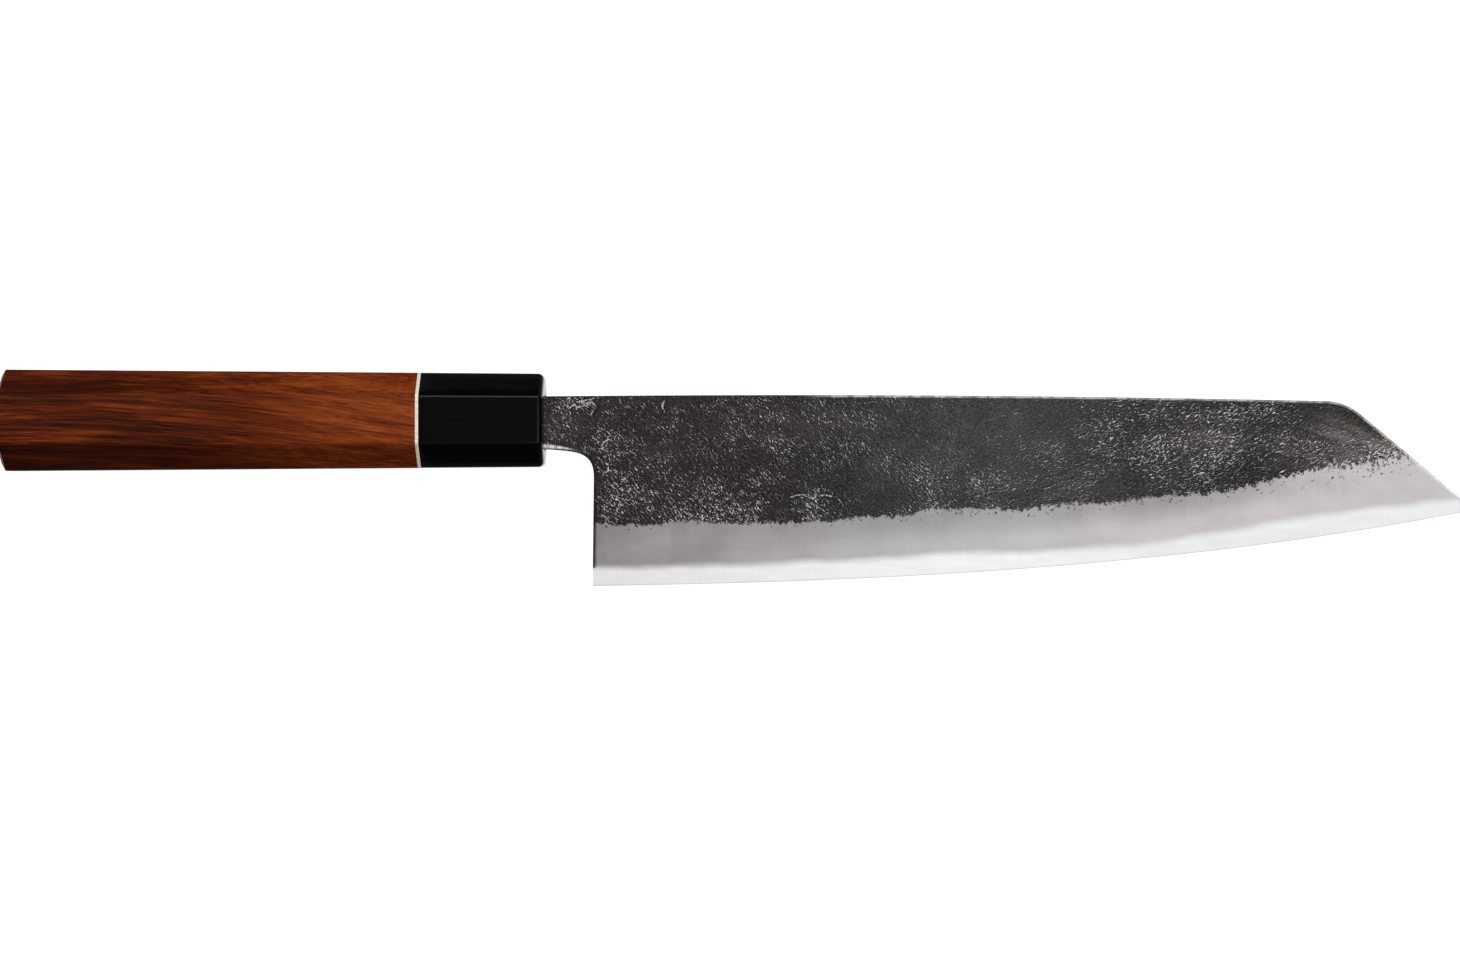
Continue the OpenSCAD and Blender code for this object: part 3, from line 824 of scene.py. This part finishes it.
def forged_iron():
    """Forge scale above the border, satin ground iron below it, with bright worn corners."""
    s = Shader("forged_iron")
    calm = s.attribute("calm")
    haze = s.attribute("haze")
    painted_rim_shade = s.attribute("painted_rim_shade")
    cloud = s.noise((0.09, 0.13, 0.11), 4, 0.6)
    grain = s.noise(2.6, 3, 0.7)
    hatch = s.noise((2.5, 0.12, 0.12), 3, 0.6)
    cluster = s.noise((0.75, 0.85, 0.8), 3, 0.6)
    crowd = s.total(cluster, s.times(cloud, 0.7), -0.35)
    worn_and_highlit, painted_shade_mask, height = scale_marks(s, cluster, crowd, grain, calm)
    tone = scale_colour(s, cloud, grain, haze, worn_and_highlit, painted_shade_mask)

    bevel, bright = ground_bevel(s)
    polish = s.times(s.attribute("polish"), s.span(s.noise(0.5, 3, 0.6), 0.35, 0.6, 0.35, 0.7))
    neck = s.times(s.attribute("neck"), s.span(hatch, 0.38, 0.5, 0.4, 1.0))
    corner = s.larger(polish, neck)
    bright = s.larger(bright, corner)
    bare = s.larger(ground_share(s, haze), corner)
    colour = s.mix(bare, tone, s.mix(bright, bevel, bright_band(s)))
    # Painted shade along the eased rim of the choil and heel, where the metal is taken away too.
    colour = s.mix(s.times(painted_rim_shade, 0.9), colour, paint(PAINTED_RIM_SHADE_COLOUR))

    normal = s.node("ShaderNodeMix", {"data_type": "VECTOR"}, _0=bare)
    s.feed(normal.inputs[4], s.bump(height, MARK_DEPTH))
    s.feed(normal.inputs[5], s.bump(hatch, BEVEL_HATCH_DEPTH))
    metallic = s.times(s.blend(bright, BEVEL_METALLIC, BAND_METALLIC), s.minus(1.0, painted_rim_shade))
    metal_roughness = s.blend(bright, BEVEL_ROUGHNESS, BAND_ROUGHNESS)
    return s.finish(
        Base_Color=colour,
        Specular_IOR_Level=SCALE_GLOSS,
        Metallic=s.times(bare, metallic),
        Roughness=s.blend(bare, s.span(grain, 0.2, 0.8, 0.42, 0.62), metal_roughness),
        Normal=normal.outputs[1])


def core_steel():
    """Bright polished steel with fine hatching, grey where it meets the iron, with a thin keen bevel."""
    s = Shader("core_steel")
    bevel, bright = ground_bevel(s)
    hatch = s.noise((2.6, 0.25, 0.25), 3, 0.6)
    cloud = s.noise((0.1, 0.5, 0.5), 3, 0.5)
    hatched = s.span(s.total(s.times(cloud, 0.6), s.times(hatch, 0.4)), 0.35, 0.65, 0.14, 0.0)
    band = s.mix(hatched, bright_band(s), paint(HATCH_STEEL))
    keen = s.span(s.attribute("above"), 0.3, 0.1, 0.0, 0.6)
    return s.finish(
        Base_Color=s.mix(keen, s.mix(bright, bevel, band), paint(KEEN_STEEL)),
        Metallic=s.blend(bright, BEVEL_METALLIC, BAND_METALLIC),
        Roughness=s.blend(bright, BEVEL_ROUGHNESS, BAND_ROUGHNESS),
        Normal=s.bump(hatch, EDGE_HATCH_DEPTH))


# Handle materials
HANDLE_WOOD = ((0.2, "#160501"), (0.38, "#3c1203"), (0.52, "#632609"), (0.75, "#9a4a1c"))
DOWEL_WOOD = ((0.25, "#9a7a50"), (0.45, "#c0a070"), (0.6, "#cfb184"), (0.75, "#dcc49c"))
HORN = ((0.35, "#020101"), (0.6, "#040202"), (0.8, "#0a0605"))
SPACER = ((0.3, "#d9c8b0"), (0.5, "#ebdfcb"), (0.7, "#f3eadb"))
RESIN = ((0.3, "#1c130d"), (0.5, "#2f231b"), (0.75, "#4a382a"))
HANDLE_GLOSS = 0.06
DOWEL_GLOSS = 0.3
HORN_GLOSS = 0.15
# The grain's fall per millimetre at the butt, and how much steeper it gets towards the ferrule
GRAIN_FALL = 0.015
GRAIN_STEEPENING = 0.0006
# Heights below the axis where the painted shade of the lower facet starts and is full
LOWER_FACET_SHADE = (5, 8)
WOOD_BUMP = 0.012
HORN_BUMP = 0.003
SPACER_BUMP = 0.006
RESIN_BUMP = 0.08


def wood(name, stops, gloss):
    """Varnished wood whose grain runs along x with slow waves, lighter towards the ferrule, with painted
    shade on its lower facet.
    """
    s = Shader(name)
    from_butt = s.minus(s.coordinate(0), butt_x)
    fall = s.times(from_butt, s.total(s.times(from_butt, GRAIN_STEEPENING), GRAIN_FALL))
    drift = s.node("ShaderNodeCombineXYZ", Y=fall, Z=s.times(fall, 0.2)).outputs[0]
    place = s.wandering(s.added(s.place, drift), (0.015, 0.05, 0.05), (0.0, 2.6, 2.6))
    wave = s.noise((0.03, 0.25, 0.25), 3, 0.6, 0.3, place)
    streak = s.noise((0.022, 0.8, 0.8), 5, 0.7, 0.3, place)
    fibre = s.noise((0.07, 3.4, 3.4), 3, 0.6, 0.1, place)
    pore = s.span(s.noise((0.22, 3.6, 3.6), 2, 0.5, 0.0, place), 0.61, 0.69)

    along = s.span(from_butt, 0.0, spacer_back_x - butt_x)
    # Painted shade on the lower facet: darker wood with weaker streaks there.
    lower_facet_shade = s.span(s.coordinate(1), *(axis_y - below for below in LOWER_FACET_SHADE))
    contrast = s.times(s.blend(along, 0.72, 0.32), s.blend(lower_facet_shade, 1.0, 0.6))
    tone = s.total(s.swing(wave, 0.45), s.swing(streak, contrast), s.swing(fibre, 0.55),
                   s.blend(s.times(along, along), 0.42, 0.6), s.times(lower_facet_shade, -0.07))
    pore_share = s.times(pore, s.blend(along, 0.3, 0.65))
    relief = s.minus(s.times(fibre, 0.5), pore)
    return s.finish(
        Base_Color=s.mix(pore_share, s.ramp(tone, stops), paint(stops[0][1])),
        Roughness=s.span(fibre, 0.3, 0.7, 0.34, 0.46),
        Specular_IOR_Level=gloss,
        Normal=s.bump(relief, WOOD_BUMP))


def black_horn():
    """Polished black horn with faint brown streaks along the grain."""
    s = Shader("black_horn")
    streak = s.noise((0.06, 0.9, 0.9), 4, 0.6, 0.5)
    scratch = s.noise((0.8, 5.0, 5.0), 2, 0.6)
    return s.finish(
        Base_Color=s.ramp(streak, HORN),
        Roughness=s.span(scratch, 0.3, 0.7, 0.09, 0.15),
        Specular_IOR_Level=HORN_GLOSS,
        Normal=s.bump(scratch, HORN_BUMP))


def pale_spacer():
    s = Shader("pale_spacer")
    fleck = s.noise((1.5, 1.2, 1.2), 4, 0.6)
    return s.finish(
        Base_Color=s.ramp(fleck, SPACER),
        Roughness=s.span(fleck, 0.3, 0.7, 0.3, 0.4),
        Normal=s.bump(fleck, SPACER_BUMP))


def bedding_resin():
    s = Shader("bedding_resin")
    lump = s.noise(0.8, 4, 0.6)
    return s.finish(
        Base_Color=s.ramp(lump, RESIN),
        Roughness=s.span(lump, 0.3, 0.7, 0.35, 0.6),
        Normal=s.bump(lump, RESIN_BUMP))


# Blade pieces
RIGHT_SEED = 11
LEFT_SEED = 47
iron = forged_iron()
right_half, right_core, right_values = blade_faces(RIGHT_SEED, (0, 0))
left_half, left_core, left_values = blade_faces(LEFT_SEED, LEFT_WRINKLES_AWAY)
hidden_rows = [line_row, choil_row, spine_row]
visible_rows = list(range(line_row, spine_row + 1))
band_rows = list(range(line_row + 1)) + hidden_rows[1:]
below_line = (np.arange(spine_row + 1)[None, :] < line_row) & ~np.isnan(grid_u)
blade_layer("cladding_right_forged", "cladding_right", iron, line_row,
            ((right_half, visible_rows), (right_core, hidden_rows)), right_values)
blade_layer("cladding_left_forged", "cladding_left", iron, line_row,
            ((-left_half, visible_rows), (-left_core, hidden_rows)), left_values)
blade_layer("blade_core_ground", "blade_core", core_steel(), 0,
            ((np.where(below_line, right_half, right_core), band_rows),
             (-np.where(below_line, left_half, left_core), band_rows)),
            {"above": above_edge, "line": right_values["line"]})

# Handle pieces
JOINT_RINGS = 3
FERRULE_RINGS = 8
wood_rings = (butt_rings()
              + side_rings(butt_x + BUTT_BEVEL[0], spacer_back_x)
              + rounded_end(spacer_back_x, JOINT_ROUND, -1, JOINT_RINGS)[::-1]
              + [bore_ring(spacer_back_x), bore_ring(dowel_back_x)]
              + [section_ring(x, WOOD_SLOT_SECTION) for x in (dowel_back_x, slot_end_x)])
spacer_rings = (rounded_end(spacer_back_x, JOINT_ROUND, 1, JOINT_RINGS)
                + rounded_end(ferrule_back_x, JOINT_ROUND, -1, JOINT_RINGS)[::-1]
                + [bore_ring(ferrule_back_x), bore_ring(spacer_back_x)])
ferrule_rings = (rounded_end(ferrule_back_x, JOINT_ROUND, 1, JOINT_RINGS)
                 + side_rings(ferrule_back_x, front_x - FERRULE_ROUND)
                 + rounded_end(front_x, FERRULE_ROUND, -1, FERRULE_RINGS)[::-1]
                 + [section_ring(x, MOUTH_SECTION, middle_y=heel_y + MOUTH_MIDDLE)
                    for x in (front_x, dowel_front_x)]
                 + [bore_ring(dowel_front_x), bore_ring(ferrule_back_x)])
lofted("wooden_handle", "handle_body", wood("handle_wood", HANDLE_WOOD, HANDLE_GLOSS),
       wood_rings, False)
lofted("pale_spacer", "spacer_ring", pale_spacer(), spacer_rings, True)
lofted("black_ferrule", "ferrule", black_horn(), ferrule_rings, True)
hidden_materials = {"ferrule_dowel": wood("dowel_wood", DOWEL_WOOD, DOWEL_GLOSS),
                    "tang_bedding": bedding_resin()}
for node, material in hidden_materials.items():
    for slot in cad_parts[node].material_slots:
        slot.material = material

# Floor: white to the camera, and in reflections only close to the handle. Sizes here are in
# metres, except for the glow's distances from the ferrule's front and from the handle's axis.
FLOOR_HALF = 0.5
FLOOR_DROP = 0.0002
FLOOR_COLOUR = "#8c8c8c"
FLOOR_ROUGHNESS = 0.9
FLOOR_GLOW = 0.97
NEAR_GLOW = 0.9
GLOW_AHEAD = (35, 10)
GLOW_BESIDE = (45, 20)


def studio_floor():
    s = Shader("pale_floor")
    beside = s.math("ABSOLUTE", s.minus(s.coordinate(1), axis_y))
    near = s.times(s.x_span(*(front_x + ahead for ahead in GLOW_AHEAD)), s.span(beside, *GLOW_BESIDE))
    seen = s.node("ShaderNodeLightPath").outputs["Is Camera Ray"]
    mesh = bpy.data.meshes.new("floor")
    corners = ((-1, -1), (1, -1), (1, 1), (-1, 1))
    points = [(x * FLOOR_HALF, y * FLOOR_HALF, -FLOOR_DROP) for x, y in corners]
    mesh.from_pydata(points, [], [(0, 1, 2, 3)])
    mesh.materials.append(s.finish(
        Base_Color=paint(FLOOR_COLOUR),
        Roughness=FLOOR_ROUGHNESS,
        Emission_Color=paint("#ffffff"),
        Emission_Strength=s.span(seen, 0.0, 1.0, s.times(near, NEAR_GLOW), FLOOR_GLOW)))
    floor = bpy.data.objects.new("floor", mesh)
    bpy.context.scene.collection.objects.link(floor)


# Light: a white backdrop for the camera, weak light from all round, and three soft panels
BACKDROP = 1.0
FILL_LOW = 0.04
FILL_HIGH = 0.3
LIGHT_TARGET = (0.03, 0.0, 0.0)
# Each panel as name, place, size and watts
PANELS = (("main", (0.0, 0.95, 1.5), (2.4, 1.0), 26),
          ("top", (0.1, -0.5, 1.4), (1.8, 0.8), 1.0),
          ("key", (0.56, -0.35, 1.3), (1.3, 0.9), 5.0))


def studio_world():
    world = bpy.data.worlds.new("studio")
    world.use_nodes = True
    nodes = world.node_tree.nodes
    background = nodes["Background"]
    background.inputs["Color"].default_value = (1.0, 1.0, 1.0, 1.0)
    seen = nodes.new("ShaderNodeLightPath").outputs["Is Camera Ray"]
    direction = nodes.new("ShaderNodeTexCoord").outputs["Generated"]
    height = nodes.new("ShaderNodeSeparateXYZ")
    fill = nodes.new("ShaderNodeMapRange")
    fill.inputs["To Min"].default_value = FILL_LOW
    fill.inputs["To Max"].default_value = FILL_HIGH
    strength = nodes.new("ShaderNodeMapRange")
    strength.inputs["To Max"].default_value = BACKDROP
    for start, end in ((direction, height.inputs[0]),
                       (height.outputs["Z"], fill.inputs["Value"]),
                       (seen, strength.inputs["Value"]),
                       (fill.outputs[0], strength.inputs["To Min"]),
                       (strength.outputs[0], background.inputs["Strength"])):
        world.node_tree.links.new(start, end)
    bpy.context.scene.world = world


def soft_panel(name, place, size, watts):
    data = bpy.data.lights.new(name, "AREA")
    data.shape = "RECTANGLE"
    data.size, data.size_y = size
    data.energy = watts
    panel = bpy.data.objects.new(name, data)
    bpy.context.scene.collection.objects.link(panel)
    panel.location = place
    x, y, z = np.array(LIGHT_TARGET) - np.array(place)
    panel.rotation_euler = (math.atan2(math.hypot(x, y), -z), 0, math.atan2(y, x) - math.pi / 2)


studio_floor()
studio_world()
for panel in PANELS:
    soft_panel(*panel)

# Camera, looking straight down, with its place in metres
CAMERA_PLACE = (-0.0026, -0.00243, 0.7115)
CAMERA_LENS = 63.4
CAMERA_SENSOR = 36
camera_data = bpy.data.cameras.new("camera")
camera_data.sensor_width = CAMERA_SENSOR
camera_data.lens = CAMERA_LENS
camera = bpy.data.objects.new("camera", camera_data)
bpy.context.scene.collection.objects.link(camera)
camera.location = CAMERA_PLACE
bpy.context.scene.camera = camera
bpy.context.scene.view_settings.view_transform = "Standard"
